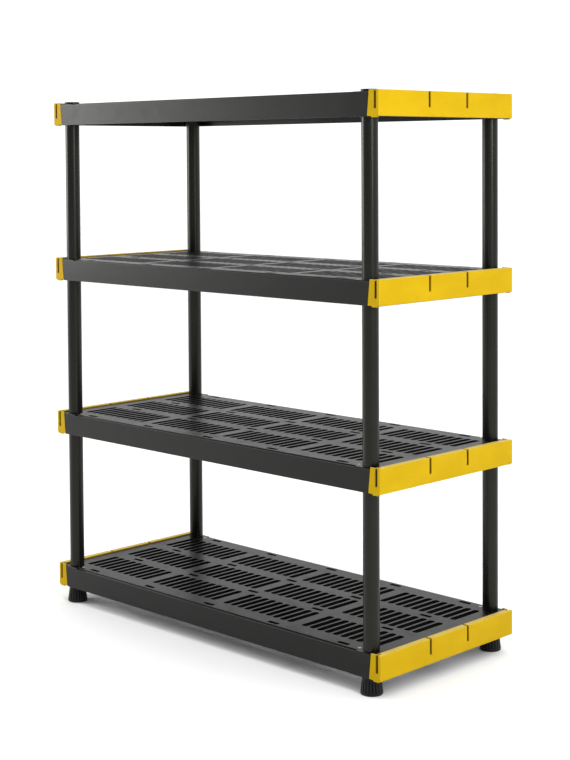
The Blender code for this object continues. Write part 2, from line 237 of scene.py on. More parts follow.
def copyTo(master, name, move, halfTurn=False):
    # a copy with its own mesh, at its place in the unit
    takeUp(master)
    bpy.ops.object.duplicate(linked=False)
    piece = bpy.context.object
    piece.name = name
    piece.data.name = name
    if halfTurn:
        bpy.ops.transform.rotate(value=math.pi, orient_axis="Z", center_override=(0, 0, 0))
    bpy.ops.transform.translate(value=move)
    settle(piece)
    return piece


def middleOf(node):
    low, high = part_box(node)
    return (low + high) / 2


def standFor(piece, node):
    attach(piece, "root")
    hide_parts(node)


# shader maths

class Wire:
    # a node's output that can be used in sums
    def __init__(self, finish, socket):
        self.finish = finish
        self.socket = socket

    def __add__(self, other):
        return self.finish.maths("ADD", self, other)

    def __sub__(self, other):
        return self.finish.maths("SUBTRACT", self, other)

    def __rsub__(self, other):
        return self.finish.maths("SUBTRACT", other, self)

    def __mul__(self, other):
        return self.finish.maths("MULTIPLY", self, other)

    __radd__ = __add__
    __rmul__ = __mul__


class Graph:
    # the nodes of one tree
    def __init__(self, tree):
        self.tree = tree

    def feed(self, socket, value):
        if isinstance(value, Wire):
            self.tree.links.new(value.socket, socket)
        else:
            socket.default_value = value

    def node(self, kind, settings=None, values=None, output=0):
        made = self.tree.nodes.new(kind)
        for name, value in (settings or {}).items():
            setattr(made, name, value)
        for name, value in (values or {}).items():
            self.feed(made.inputs[name], value)
        return Wire(self, made.outputs[output])

    def maths(self, operation, *values):
        return self.node("ShaderNodeMath", {"operation": operation}, dict(enumerate(values)))

    def split(self, vector):
        parts = self.node("ShaderNodeSeparateXYZ", None, {"Vector": vector}).socket.node
        return [Wire(self, parts.outputs[axis]) for axis in "XYZ"]


class Finish(Graph):
    # one material: the fixed values go on the shader, the rest is wired to it
    def __init__(self, name, **fixed):
        self.material = bpy.data.materials.new(name)
        self.material.use_nodes = True
        super().__init__(self.material.node_tree)
        self.shader = self.tree.nodes["Principled BSDF"]
        for socketName, value in fixed.items():
            self.shader.inputs[socketName.replace("_", " ")].default_value = value
        self.spot = self.node("ShaderNodeTexCoord", output="Object")

    def ease(self, value, low, high):
        # 0 below low and 1 above high, with a soft change between
        return self.node("ShaderNodeMapRange", {"interpolation_type": "SMOOTHSTEP"},
                         {"Value": value, "From Min": low, "From Max": high})

    def upTo(self, value, limit, band):
        # 1 near the limit, changing over a band that is given by its distances from it
        return self.ease(value, limit - band[0], limit - band[1])

    def along(self, value, line, width):
        # 1 on the line, fading to 0 at this distance from it
        return 1 - self.ease(self.maths("ABSOLUTE", value - line), 0.0, width)

    def noise(self, scale, detail=2.0, stretch=(1, 1, 1), roughness=0.5):
        spot = self.node("ShaderNodeMapping", None, {"Vector": self.spot, "Scale": stretch})
        return self.node("ShaderNodeTexNoise", None, {"Vector": spot, "Scale": scale, "Detail": detail,
                                                      "Roughness": roughness}, "Fac")

    def place(self):
        # the point's place on the piece as it was modelled
        return self.split(self.node("ShaderNodeAttribute", {"attribute_name": "place"}, None, "Vector"))

    def mixed(self, share, first, second):
        return self.node("ShaderNodeMix", {"data_type": "RGBA"}, {0: share, 6: first, 7: second}, 2)

    def bump(self, height, depth, strength=1.0):
        return self.node("ShaderNodeBump", None, {"Height": height, "Distance": depth,
                                                  "Strength": strength}, "Normal")

    def shade(self, **wires):
        for socketName, wire in wires.items():
            self.feed(self.shader.inputs[socketName.replace("_", " ")], wire)
        return self.material


def grey(value, tint=(1.0, 1.0, 1.0)):
    return (value * tint[0], value * tint[1], value * tint[2], 1.0)


# trays, modelled with the deck at height 0

tray = {
    "wall": 0.003, "deck": 0.003, "recessDepth": 0.0033,
    "apronRound": 0.0042, "blockRound": 0.0014, "riserRound": 0.0013, "fineRound": 0.0006,
    "ledgeWidth": 0.008, "ledgeDrop": 0.0025, "ledgeFromEnd": 0.0763,
    "groups": 4, "groupPitch": 0.283, "rows": 3, "rowPitch": 0.1468,
    "slots": 10, "slotPitch": 0.0258, "slotWidth": 0.018, "slotLength": 0.106,
    "slotCorner": 0.0072, "slotRim": 0.0005, "padMargin": 0.0045, "padDepth": 0.011,
    "tieCount": 5, "tiePitch": 0.2367, "tieLength": 0.036, "tieWidth": 0.012, "tieCorner": 0.0042,
    "tieEdgeRow": 0.2325, "tiePadMargin": 0.003, "tieDepth": 0.009,
    "webWidth": 0.0030, "webTop": 0.0035, "webBottom": 0.0075,
    "ribWall": 0.0025, "longRibDepth": 0.014, "longRibOffset": 0.0112, "crossRibDepth": 0.012,
    "recessTop": 0.0282, "recessBottom": 0.0342, "recessReach": 0.061,
    "columnWall": 0.0027, "boreGap": 0.0003, "topBore": 0.026, "bottomBore": 0.0297,
    "markX": 0.525, "markY": 0.232, "markRadius": 0.0045, "markHeight": 0.0003, "markRound": 0.0002,
    "past": 0.002, "buried": 0.0003, "slack": 0.0002,
}

trayLook = {
    "base": 0.004, "wornAndSheen": 0.030, "dust": 0.016, "roughness": 0.34, "gloss": 0.22,
    "tint": (1.0, 0.985, 0.94, 1.0), "coldTint": (1.0, 1.0, 1.03), "dustTint": (1.0, 0.98, 0.94),
    "grainScale": 2400, "grainDepth": 0.00006, "pitScale": 700, "hairScale": 90, "crossHairScale": 80,
    "riserWidth": 0.0016, "shoulderDrop": 0.0009, "shoulderWidth": 0.0022, "shoulderReach": (0.0025, 0.0005),
    "deckBand": (0.0008, 0.0002), "lipBand": (0.0005, 0.0015),
    "dustShare": 0.28, "sheenAndWearShare": 0.45, "scratchShare": 0.35,
}


def trayFinish():
    look = trayLook
    finish = Finish("trayPlastic", Specular_IOR_Level=look["gloss"], Specular_Tint=look["tint"])
    shelfLow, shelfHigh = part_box("shelf_1")
    lip = shelfLow.z - shelfHigh.z
    front = shelfHigh.y
    y, z = finish.place()[1:]
    side = finish.maths("ABSOLUTE", y)
    cloud = finish.noise(4.5, 3.0)
    patch = finish.ease(finish.noise(22, 4.0, (1, 1.6, 1)), 0.48, 0.72)
    grain = finish.noise(look["grainScale"], 2.0)
    pits = finish.ease(finish.noise(look["pitScale"], 1.0), 0.60, 0.75)
    hairs = finish.ease(finish.noise(look["hairScale"], 2.0, (0.22, 5.0, 1)), 0.63, 0.70)
    crossHairs = finish.ease(finish.noise(look["crossHairScale"], 2.0, (4.0, 0.3, 1)), 0.64, 0.70)
    onDeck = finish.upTo(z, 0, look["deckBand"])
    # painted highlight: the riser behind the ledge, the lower lip of the apron and its rounded top shoulder
    # are painted lighter in patches, standing in for light caught by these edges
    lowerLip = 1 - finish.ease(z, lip + look["lipBand"][0], lip + look["lipBand"][1])
    riser = finish.along(side, front - tray["ledgeWidth"], look["riserWidth"]) * onDeck
    shoulder = (finish.along(z, -tray["ledgeDrop"] - look["shoulderDrop"], look["shoulderWidth"])
                * finish.upTo(side, front, look["shoulderReach"]))
    edgeWearAndSheen = finish.maths("MINIMUM", riser + lowerLip + shoulder, 1.0) * (0.45 + patch * 0.55)
    scratch = (hairs + crossHairs) * onDeck * patch
    dust = onDeck * finish.ease(cloud, 0.40, 0.75)
    clean = grey(look["base"], look["coldTint"])
    colour = finish.mixed(dust * look["dustShare"], clean, grey(look["dust"], look["dustTint"]))
    # the painted edge highlight, in the same lighter grey that marks the scratches
    colour = finish.mixed(edgeWearAndSheen * look["sheenAndWearShare"], colour, grey(look["wornAndSheen"]))
    colour = finish.mixed(scratch * look["scratchShare"], colour, grey(look["wornAndSheen"] * 1.6))
    roughness = look["roughness"] + (cloud - 0.5) * 0.14 + patch * 0.05 - edgeWearAndSheen * 0.10 + grain * 0.03
    height = grain * 0.8 + pits * 0.5 - scratch * 0.6
    return finish.shade(Base_Color=colour, Roughness=roughness,
                        Normal=finish.bump(height, look["grainDepth"]))


slotLook = {"base": 0.0012, "wornAndSheen": 0.003, "roughness": 0.80, "gloss": 0.08, "grainDepth": 0.0001}


def slotFinish():
    # the walls of the slots, matt and painted darker than the deck: painted shade deep in the slots
    finish = Finish("shadedSlotWall", Specular_IOR_Level=slotLook["gloss"])
    cloud = finish.noise(60, 3.0)
    colour = finish.mixed(finish.ease(cloud, 0.45, 0.75), grey(slotLook["base"]), grey(slotLook["wornAndSheen"]))
    roughness = slotLook["roughness"] + (cloud - 0.5) * 0.2
    return finish.shade(Base_Color=colour, Roughness=roughness,
                        Normal=finish.bump(cloud, slotLook["grainDepth"]))


markLook = {"base": (0.60, 0.57, 0.46), "darker": 0.62, "roughness": 0.42, "grainDepth": 0.00008}


def markFinish():
    # the pale round marks on the decks, near the corners
    finish = Finish("paleMark")
    cloud = finish.noise(420, 3.0)
    light = (*markLook["base"], 1.0)
    dark = (*[part * markLook["darker"] for part in markLook["base"]], 1.0)
    colour = finish.mixed(finish.ease(cloud, 0.35, 0.75), light, dark)
    roughness = markLook["roughness"] + cloud * 0.15
    return finish.shade(Base_Color=colour, Roughness=roughness,
                        Normal=finish.bump(cloud, markLook["grainDepth"]))


# end caps, modelled at the right-hand end with the rim at height 0

cap = {
    "wall": 0.003, "height": 0.061, "lip": 0.017, "returnTop": 0.030, "returnBottom": 0.036,
    "cornerRound": 0.0028, "innerRound": 0.0006, "rimRound": 0.0006, "fineRound": 0.0004,
    "slitWidth": 0.007, "slitShade": 0.0063, "slitCorner": 0.0012, "endSlitY": 0.0715, "endSlitDepth": 0.038,
    "returnSlitFromEnd": 0.012, "returnSlitDepth": 0.043, "returnSlitInLip": 0.014,
    "tabFromEnd": 0.007, "tabWidth": 0.016, "tabHook": 0.005, "tabThick": 0.0017,
    "past": 0.002,
}

capLook = {
    # the dark brown dirt colour is also the colour of the painted shade along the slits
    "base": (0.48, 0.305, 0.0015), "flow": (0.52, 0.335, 0.003), "dirt": (0.20, 0.10, 0.004),
    "pale": (0.60, 0.46, 0.10), "roughness": 0.46, "gloss": 0.05, "grainScale": 2100, "grainDepth": 0.00004,
    "rimWidth": 0.0014, "rimBand": (0.0046, 0.0011), "cornerBand": (0.0026, 0.0008),
    "sideBand": (0.0024, 0.0008), "faceBand": (0.0040, 0.0020), "topBand": (0.0007, 0.0001),
    "dirtReach": 0.014, "slitFade": 0.002,
    "dirtShare": 0.10, "hairShare": 0.14, "sheenAndWearShare": 0.40, "topSheenShare": 0.75, "slitShadeShare": 0.9,
}


def capFinish():
    look = capLook
    finish = Finish("capPlastic", Specular_IOR_Level=look["gloss"])
    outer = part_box("end_cap_right_1")[1]
    x, y, z = finish.place()
    end = finish.maths("ABSOLUTE", x)
    side = finish.maths("ABSOLUTE", y)
    flow = finish.noise(7, 3.0, (1, 1, 2.5))
    patch = finish.ease(finish.noise(30, 4.0), 0.46, 0.72)
    grain = finish.noise(look["grainScale"], 2.0)
    hairs = finish.ease(finish.noise(70, 2.0, (1, 0.25, 5.0)), 0.64, 0.70)
    rim = finish.along(z, 0.0, look["rimWidth"]) * finish.upTo(end, outer.x, look["rimBand"])
    corner = finish.upTo(end, outer.x, look["cornerBand"]) * finish.upTo(side, outer.y, look["sideBand"])
    edgeWearAndSheen = finish.maths("MINIMUM", rim + corner, 1.0) * (0.3 + patch * 0.7)
    # painted highlight: the top face of the lip is painted pale, standing in for the sheen it catches from
    # above
    lipTop = finish.upTo(z, 0, look["topBand"])
    dirt = (1 - finish.ease(z, -cap["height"], look["dirtReach"] - cap["height"])) * patch
    # painted shade: a dark brown band along each slit stands in for the shaded walls inside it and makes the
    # slit look wider, kept weaker on the lip top
    endSlit = (finish.along(side, cap["endSlitY"], cap["slitShade"])
               * finish.upTo(z, -cap["endSlitDepth"], (look["slitFade"], 0)))
    returnSlit = (finish.along(end, outer.x - cap["returnSlitFromEnd"], cap["slitShade"])
                  * finish.upTo(side, outer.y, look["faceBand"])
                  * finish.upTo(z, -cap["returnSlitDepth"], (look["slitFade"], 0)))
    shade = finish.maths("MINIMUM", endSlit + returnSlit, 1.0) * (1 - lipTop * 0.7)
    # the dark brown dirt colour also serves as the painted shade along the slits
    base, flowing, dirtAndShade, pale = [(*look[name], 1.0) for name in ("base", "flow", "dirt", "pale")]
    colour = finish.mixed(finish.ease(flow, 0.35, 0.70), base, flowing)
    colour = finish.mixed(dirt * look["dirtShare"] + hairs * patch * look["hairShare"], colour, dirtAndShade)
    # pale edge wear and the painted highlight on the lip top share one pale colour
    paleShare = finish.maths("MAXIMUM", edgeWearAndSheen * look["sheenAndWearShare"], lipTop * look["topSheenShare"])
    colour = finish.mixed(paleShare, colour, pale)
    colour = finish.mixed(shade * look["slitShadeShare"], colour, dirtAndShade)
    roughness = look["roughness"] + (flow - 0.5) * 0.12 + patch * 0.05 - edgeWearAndSheen * 0.08
    return finish.shade(Base_Color=colour, Roughness=roughness,
                        Normal=finish.bump(grain - hairs * 0.5, look["grainDepth"]))


# posts, feet and plugs

post = {"wall": 0.0024, "rimRound": 0.0005, "corners": 96}

postLook = {
    "base": 0.003, "wornAndSheen": 0.012, "roughness": 0.28, "gloss": 0.26, "tint": (1.0, 0.99, 0.86, 1.0),
    "streakScale": 260, "streakStretch": (1, 1, 0.012), "grainDepth": 0.00002,
    "wornShare": 0.25, "ringShare": 0.30,
}


def postFinish():
    look = postLook
    finish = Finish("postPlastic", Specular_IOR_Level=look["gloss"], Specular_Tint=look["tint"])
    streak = finish.noise(look["streakScale"], 2.0, look["streakStretch"])      # drawn lines down the tube
    cloud = finish.noise(9, 3.0, (1, 1, 0.5))
    rings = finish.ease(finish.noise(60, 3.0, (0.3, 0.3, 6.0)), 0.66, 0.73)
    wornShare = finish.ease(cloud, 0.42, 0.75) * look["wornShare"]
    colour = finish.mixed(wornShare, grey(look["base"]), grey(look["wornAndSheen"]))
    colour = finish.mixed(rings * look["ringShare"], colour, grey(look["wornAndSheen"] * 1.5))
    roughness = look["roughness"] + (streak - 0.5) * 0.14 + (cloud - 0.5) * 0.10 + rings * 0.10
    return finish.shade(Base_Color=colour, Roughness=roughness,
                        Normal=finish.bump(streak, look["grainDepth"]))


foot = {
    "topRadius": 0.0225, "bottomRadius": 0.0272, "edge": 0.004, "spigotRadius": 0.0198, "spigotLength": 0.024,
    "spigotWall": 0.0026, "floor": 0.005, "flutes": 20, "cornersPerFlute": 8, "fluteDepth": 0.0020,
    "fluteFrom": 0.0060, "fluteTo": 0.0375, "fade": 0.0022, "soleRing": 0.0060, "soleRecess": 0.0012,
    "shoulderRound": 0.0010, "levelSlack": 0.0005, "grooveSpreads": (1.5, 0.6),
}

footLook = {
    "base": 0.003, "grooveShade": 0.0012, "wornAndSheen": 0.020, "dust": 0.05, "roughness": 0.36, "gloss": 0.20,
    "dustTint": (1.0, 0.96, 0.90), "grainScale": 1500, "grainDepth": 0.00008, "soleBand": (0.0005, 0.0075),
    "dustShare": 0.35,
}


def footFinish():
    look = footLook
    finish = Finish("footPlastic", Specular_IOR_Level=look["gloss"])
    x, y, z = finish.place()
    cloud = finish.noise(35, 3.0)
    grain = finish.noise(look["grainScale"], 2.0)
    sole = 1 - finish.ease(z, *look["soleBand"])
    dust = sole * finish.ease(cloud, 0.30, 0.70)
    # painted shade and highlight on the flutes: the grooves are painted darker and the ridges between them
    # lighter
    turn = finish.maths("FRACT", finish.maths("ARCTAN2", y, x) * (foot["flutes"] / math.tau) + foot["flutes"])
    ridge = finish.ease(finish.maths("ABSOLUTE", turn - 0.5), 0.12, 0.32)
    fluted = (finish.ease(z, foot["fluteFrom"], foot["fluteFrom"] + foot["fade"])
              * (1 - finish.ease(z, foot["fluteTo"] - foot["fade"], foot["fluteTo"])))
    grooveShade = (1 - ridge) * fluted
    # random wear plus the painted highlight on the ridges
    wornAndSheen = finish.ease(cloud, 0.45, 0.75) * 0.3 + ridge * fluted * 0.3
    colour = finish.mixed(wornAndSheen, grey(look["base"]), grey(look["wornAndSheen"]))
    colour = finish.mixed(grooveShade, colour, grey(look["grooveShade"]))
    colour = finish.mixed(dust * look["dustShare"], colour, grey(look["dust"], look["dustTint"]))
    roughness = look["roughness"] + (cloud - 0.5) * 0.16 + dust * 0.20 + grooveShade * 0.4
    return finish.shade(Base_Color=colour, Roughness=roughness, Normal=finish.bump(grain, look["grainDepth"]))


plug = {
    "radius": 0.0207, "height": 0.0053, "edge": 0.0015, "topWall": 0.003,
    "skirtRadius": 0.0198, "wall": 0.0026, "dishFromEdge": 0.0042, "dishDepth": 0.0007, "dishEdge": 0.0004,
    "gateRadius": 0.0022, "gateDepth": 0.0004, "corners": 72,
}

plugLook = {"cloudScale": 50, "topBand": (0.0023, 0.0003)}


def plugFinish():
    look = footLook
    finish = Finish("plugPlastic", Specular_IOR_Level=look["gloss"])
    z = finish.place()[2]
    cloud = finish.noise(plugLook["cloudScale"], 3.0)
    grain = finish.noise(look["grainScale"], 2.0)
    onTop = finish.upTo(z, plug["height"], plugLook["topBand"])
    dust = onTop * finish.ease(cloud, 0.40, 0.75)
    dusty = grey(look["dust"], trayLook["dustTint"])
    colour = finish.mixed(dust * look["dustShare"], grey(look["base"]), dusty)
    roughness = look["roughness"] + (cloud - 0.5) * 0.16 + dust * 0.10
    return finish.shade(Base_Color=colour, Roughness=roughness, Normal=finish.bump(grain, look["grainDepth"]))


trayPlastic = trayFinish()
shadedSlotWall = slotFinish()
paleMark = markFinish()
capPlastic = capFinish()
postPlastic = postFinish()
footPlastic = footFinish()
plugPlastic = plugFinish()
print("finishes ready")


def addSlot(name, middle, length, width, corner, depth):
    # a cutter for one slot, its upright corners rounded
    low = (middle[0] - length / 2, middle[1] - width / 2, -depth)
    high = (middle[0] + length / 2, middle[1] + width / 2, tray["past"])
    slot = addBox(name, low, high)
    roundEdges(slot, upright(lambda co: True), corner, 5)
    return slot


def trayShell(low, high):
    t = tray
    shell = addBox("trayMaster", (low.x, low.y, low.z), (high.x, high.y, 0))
    startEdit(shell, "FACE")
    pick(shell, "faces", faceFacing((0, 0, -1)))
    bpy.ops.mesh.delete(type="ONLY_FACE")
    stopEdit()
    useModifier(shell, "SOLIDIFY", thickness=t["wall"], offset=-1, use_even_offset=True,
                use_quality_normals=True)
    return shell


def addRibs(shell, high):
    t = tray
    top = -t["deck"] / 2
    reachX = high.x - t["wall"] / 2
    reachY = high.y - t["wall"] / 2
    half = t["ribWall"] / 2
    lineY = t["rowPitch"] / 2 + t["longRibOffset"]
    longRib = addBox("longRib", (-reachX, lineY - half, -t["longRibDepth"]), (reachX, lineY + half, top))
    join(shell, mirrorIt(longRib, False, True))
    first = -t["groupPitch"]
    crossRib = addBox("crossRib", (first - half, -reachY, -t["crossRibDepth"]), (first + half, reachY, top))
    join(shell, repeatIt(crossRib, t["groups"] - 1, (t["groupPitch"], 0, 0)))


def addPads(shell):
    # the deck is thicker round the slots
    t = tray
    top = -t["deck"] / 2
    groupHalf = (t["slots"] - 1) * t["slotPitch"] / 2 + t["slotWidth"] / 2 + t["padMargin"]
    rowHalf = t["slotLength"] / 2 + t["padMargin"]
    firstX = -(t["groups"] - 1) / 2 * t["groupPitch"]
    firstY = -(t["rows"] - 1) / 2 * t["rowPitch"]
    pad = addBox("pad", (firstX - groupHalf, firstY - rowHalf, -t["padDepth"]),
                 (firstX + groupHalf, firstY + rowHalf, top))
    repeatIt(pad, t["groups"], (t["groupPitch"], 0, 0))
    join(shell, repeatIt(pad, t["rows"], (0, t["rowPitch"], 0)))
    halfX = t["tieLength"] / 2 + t["tiePadMargin"]
    halfY = t["tieWidth"] / 2 + t["tiePadMargin"]
    startX = -(t["tieCount"] - 1) / 2 * t["tiePitch"]
    for row in (t["rowPitch"] / 2, t["tieEdgeRow"]):
        under = addBox("tiePad", (startX - halfX, row - halfY, -t["tieDepth"]),
                       (startX + halfX, row + halfY, top))
        repeatIt(under, t["tieCount"], (t["tiePitch"], 0, 0))
        join(shell, mirrorIt(under, False, True))


def addCorners(shell, low, high, socket):
    # walls behind the cap recesses, and the round columns of the post sockets
    t = tray
    end = high.x - t["wall"] / 2
    start = high.x - t["recessBottom"] - t["wall"]
    inner = high.y - t["recessDepth"] - t["wall"]
    liner = addBox("liner", (start, inner, low.z), (end, high.y - t["wall"] / 2, -t["deck"] / 2))
    join(shell, mirrorIt(liner))
    radius = socket["radius"] + t["boreGap"] + t["columnWall"]
    column = addRound("column", radius, socket["spot"], low.z, -t["deck"] / 2)
    join(shell, mirrorIt(column))
    reach = high.x - t["ledgeFromEnd"] + t["wall"]
    inside = high.y - t["ledgeWidth"] - t["wall"]
    outside = high.y - t["wall"] / 2 - t["buried"]
    rail = addBox("ledgeRail", (-reach, inside, -t["ledgeDrop"] - t["deck"]),
                  (reach, outside, -t["deck"] / 2))
    join(shell, mirrorIt(rail, False, True))


def cutCorners(shell, low, high, socket):
    t = tray
    past = t["past"]
    innerBottom = high.x - t["recessBottom"]
    lean = t["recessBottom"] - t["recessTop"]
    top = cap["wall"] + t["boreGap"]
    bottom = top - t["recessReach"]
    recess = addBox("recess", (innerBottom, high.y - t["recessDepth"], bottom),
                    (high.x + past, high.y + past, top))
    shiftCorners(recess, lambda co: near(co.x, innerBottom) and near(co.z, top), (lean, 0, 0))
    deeper = past * 2
    shiftCorners(recess, lambda co: near(co.x, innerBottom) and near(co.z, bottom),
                 (-lean / t["recessReach"] * deeper, 0, -deeper))
    shiftCorners(recess, lambda co: near(co.x, high.x + past) and near(co.z, bottom), (0, 0, -deeper))
    cut(shell, mirrorIt(recess))
    ledge = addBox("ledge", (-high.x + t["ledgeFromEnd"], high.y - t["ledgeWidth"], -t["ledgeDrop"]),
                   (high.x - t["ledgeFromEnd"], high.y + past, past))
    cut(shell, mirrorIt(ledge, False, True))
    radius = socket["radius"] + t["boreGap"]
    upper = addRound("upperBore", radius, socket["spot"], -t["topBore"], past)
    cut(shell, mirrorIt(upper))
    lower = addRound("lowerBore", radius, socket["spot"], low.z - past, low.z + t["bottomBore"])
    cut(shell, mirrorIt(lower))


def roundTray(shell, low, high):
    t = tray
    ledgeEnd = high.x - t["ledgeFromEnd"]
    slack = t["slack"]
    roundEdges(shell, edgeIs(lambda co: near(abs(co.y), high.y) and near(co.z, -t["ledgeDrop"])
                             and abs(co.x) < ledgeEnd + slack), t["apronRound"], 5)
    roundEdges(shell, edgeIs(lambda co: near(abs(co.y), high.y) and near(co.z, 0)), t["blockRound"], 3)
    roundEdges(shell, edgeIs(lambda co: near(abs(co.y), high.y - t["ledgeWidth"]) and near(co.z, 0)),
               t["riserRound"], 3)
    roundEdges(shell, edgeIs(lambda co: near(co.z, low.z) and abs(co.y) > high.y - t["wall"] - slack),
               t["fineRound"], 2)


def cutSlots(shell):
    t = tray
    firstX = -(t["groups"] - 1) / 2 * t["groupPitch"] - (t["slots"] - 1) / 2 * t["slotPitch"]
    firstY = -(t["rows"] - 1) / 2 * t["rowPitch"]
    slot = addSlot("slot", (firstX, firstY), t["slotWidth"], t["slotLength"], t["slotCorner"],
                   t["padDepth"] + t["past"])
    repeatIt(slot, t["slots"], (t["slotPitch"], 0, 0))
    repeatIt(slot, t["groups"], (t["groupPitch"], 0, 0))
    repeatIt(slot, t["rows"], (0, t["rowPitch"], 0))
    # the slot walls take the darker finish, painted shade
    paint(slot, shadedSlotWall)
    cut(shell, slot, "TRANSFER")
    startX = -(t["tieCount"] - 1) / 2 * t["tiePitch"]
    for row in (t["rowPitch"] / 2, t["tieEdgeRow"]):
        tie = addSlot("tieSlot", (startX, row), t["tieLength"], t["tieWidth"], t["tieCorner"],
                      t["tieDepth"] + t["past"])
        repeatIt(tie, t["tieCount"], (t["tiePitch"], 0, 0))
        paint(mirrorIt(tie, False, True), shadedSlotWall)
        cut(shell, tie, "TRANSFER")
        half = t["tieWidth"] / 2 + t["tiePadMargin"] / 2
        web = addBox("web", (startX - t["webWidth"] / 2, row - half, -t["webBottom"]),
                     (startX + t["webWidth"] / 2, row + half, -t["webTop"]))
        repeatIt(web, t["tieCount"], (t["tiePitch"], 0, 0))
        join(shell, mirrorIt(web, False, True))
    rowsEnd = -firstY + t["slotLength"] / 2 + t["slotRim"]
    tiesEnd = t["tieEdgeRow"] + t["tieWidth"] / 2 + t["slotRim"]
    tiesReach = -startX + t["tieLength"]

    def onRim(co):
        inRows = abs(co.y) < rowsEnd or abs(co.x) < tiesReach
        return near(co.z, 0) and inRows and abs(co.y) < tiesEnd
    roundEdges(shell, creased(onRim), t["slotRim"], 2)


def addMarks(shell):
    t = tray
    mark = addRound("mark", t["markRadius"], (t["markX"], t["markY"]), -t["deck"] / 2, t["markHeight"], 32)
    roundEdges(mark, creased(lambda co: near(co.z, t["markHeight"], 0.00001)), t["markRound"], 2)
    paint(mark, paleMark)
    join(shell, mirrorIt(mark), "TRANSFER")


def makeTrays():
    shelfLow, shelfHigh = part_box("shelf_1")
    deckHeight = shelfHigh.z
    low = Vector((shelfLow.x, shelfLow.y, shelfLow.z - deckHeight))
    high = Vector((shelfHigh.x, shelfHigh.y, 0))
    postLow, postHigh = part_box("post_front_right_1")
    middle = middleOf("post_front_right_1")
    socket = {"spot": (middle.x, -middle.y), "radius": (postHigh.x - postLow.x) / 2}
    shell = trayShell(low, high)
    addRibs(shell, high)
    addPads(shell)
    addCorners(shell, low, high, socket)
    cutCorners(shell, low, high, socket)
    print("tray body:", len(shell.data.polygons), "faces")
    roundTray(shell, low, high)
    paint(shell, trayPlastic)
    cutSlots(shell)
    addMarks(shell)
    smoothOff(shell)
    markPlace(shell)
    print("tray:", len(shell.data.polygons), "faces")
    for tier in tiers:
        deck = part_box(f"shelf_{tier}")[1].z
        standFor(copyTo(shell, f"tray{tier}", (0, 0, deck)), f"shelf_{tier}")
    bpy.data.objects.remove(shell, do_unlink=True)


def capBody(high):
    c = cap
    inner = high.x - c["returnBottom"]
    past = c["past"]
    inside = high.y - c["wall"]
    body = addBox("capMaster", (inner, -high.y, -c["height"]), (high.x, high.y, 0))
    roundEdges(body, upright(lambda co: near(co.x, high.x)), c["cornerRound"], 5)
    hollow = addBox("hollow", (inner - past, -inside, -c["height"] - past),
                    (high.x - c["wall"], inside, -c["wall"]))
    roundEdges(hollow, upright(lambda co: near(co.x, high.x - c["wall"])), c["innerRound"], 2)
    cut(body, hollow)
    opening = addBox("opening", (inner - past, -inside, -c["wall"] - past), (high.x - c["lip"], inside, past))
    cut(body, opening)
    roundEdges(body, creased(lambda co: near(co.z, 0)), c["rimRound"], 3)
    return body


def addTabs(body, low, high):
    # a hooked tab below each return, flush with it
    c = cap
    outer = high.x - c["tabFromEnd"]
    far = outer - c["tabWidth"]
    tab = addBox("tab", (far, high.y - c["wall"], low.z), (outer, high.y, -c["height"] / 2))
    join(body, mirrorIt(tab, False, True))
    hook = addBox("hook", (far, high.y - c["wall"] - c["tabHook"], low.z),
                  (outer, high.y - c["wall"] / 2, low.z + c["tabThick"]))
    join(body, mirrorIt(hook, False, True))
    roundEdges(body, creased(lambda co: near(co.z, -c["height"])), c["fineRound"], 2)


def slit(name, low, high, axis):
    # a slit's cutter, its two lower edges rounded along the way it cuts
    box = addBox(name, low, high)
    startEdit(box, "EDGE")
    pick(box, "edges", lambda edge: all(near(corner.co.z, low[2]) for corner in edge.verts)
         and near(abs((edge.verts[0].co - edge.verts[1].co).normalized()[axis]), 1, 0.01))
    bpy.ops.mesh.bevel(offset=cap["slitCorner"], segments=3, profile=0.5, affect="EDGES")
    stopEdit()
    return box


def cutCap(body, high):
    c = cap
    past = c["past"]
    half = c["slitWidth"] / 2
    endSlit = slit("endSlit", (high.x - c["lip"] - past, c["endSlitY"] - half, -c["endSlitDepth"]),
                   (high.x + past, c["endSlitY"] + half, past), 0)
    cut(body, mirrorIt(endSlit, False, True))
    middle = high.x - c["returnSlitFromEnd"]
    returnSlit = slit("returnSlit", (middle - half, high.y - c["returnSlitInLip"], -c["returnSlitDepth"]),
                      (middle + half, high.y + past, past), 1)
    cut(body, mirrorIt(returnSlit, False, True))
    start = high.x - c["returnBottom"]
    lean = c["returnBottom"] - c["returnTop"]
    wedge = addBox("wedge", (start - past, high.y - c["wall"] - past, -c["height"]),
                   (start, high.y + past, 0))
    shiftCorners(wedge, lambda co: near(co.x, start) and near(co.z, 0), (lean, 0, 0))
    slope = lean / c["height"] * past
    shiftCorners(wedge, lambda co: near(co.x, start) and near(co.z, -c["height"]), (-slope, 0, -past))
    shiftCorners(wedge, lambda co: near(co.x, start - past) and near(co.z, -c["height"]), (0, 0, -past))
    shiftCorners(wedge, lambda co: near(co.x, start + lean) and near(co.z, 0), (slope, 0, past))
    shiftCorners(wedge, lambda co: near(co.x, start - past) and near(co.z, 0), (0, 0, past))
    cut(body, mirrorIt(wedge, False, True))


def makeCaps():
    capLow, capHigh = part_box("end_cap_right_1")
    low = Vector((capLow.x, capLow.y, capLow.z - capHigh.z))
    high = Vector((capHigh.x, capHigh.y, 0))
    body = capBody(high)
    addTabs(body, low, high)
    cutCap(body, high)
    smoothOff(body)
    paint(body, capPlastic)
    markPlace(body)
    print("end cap:", len(body.data.polygons), "faces")
    for tier in tiers:
        for sideName, side in sides:
            node = f"end_cap_{side}_{tier}"
            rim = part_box(node)[1].z
            piece = copyTo(body, f"cap{sideName}{tier}", (0, 0, rim), side == "left")
            standFor(piece, node)
    bpy.data.objects.remove(body, do_unlink=True)


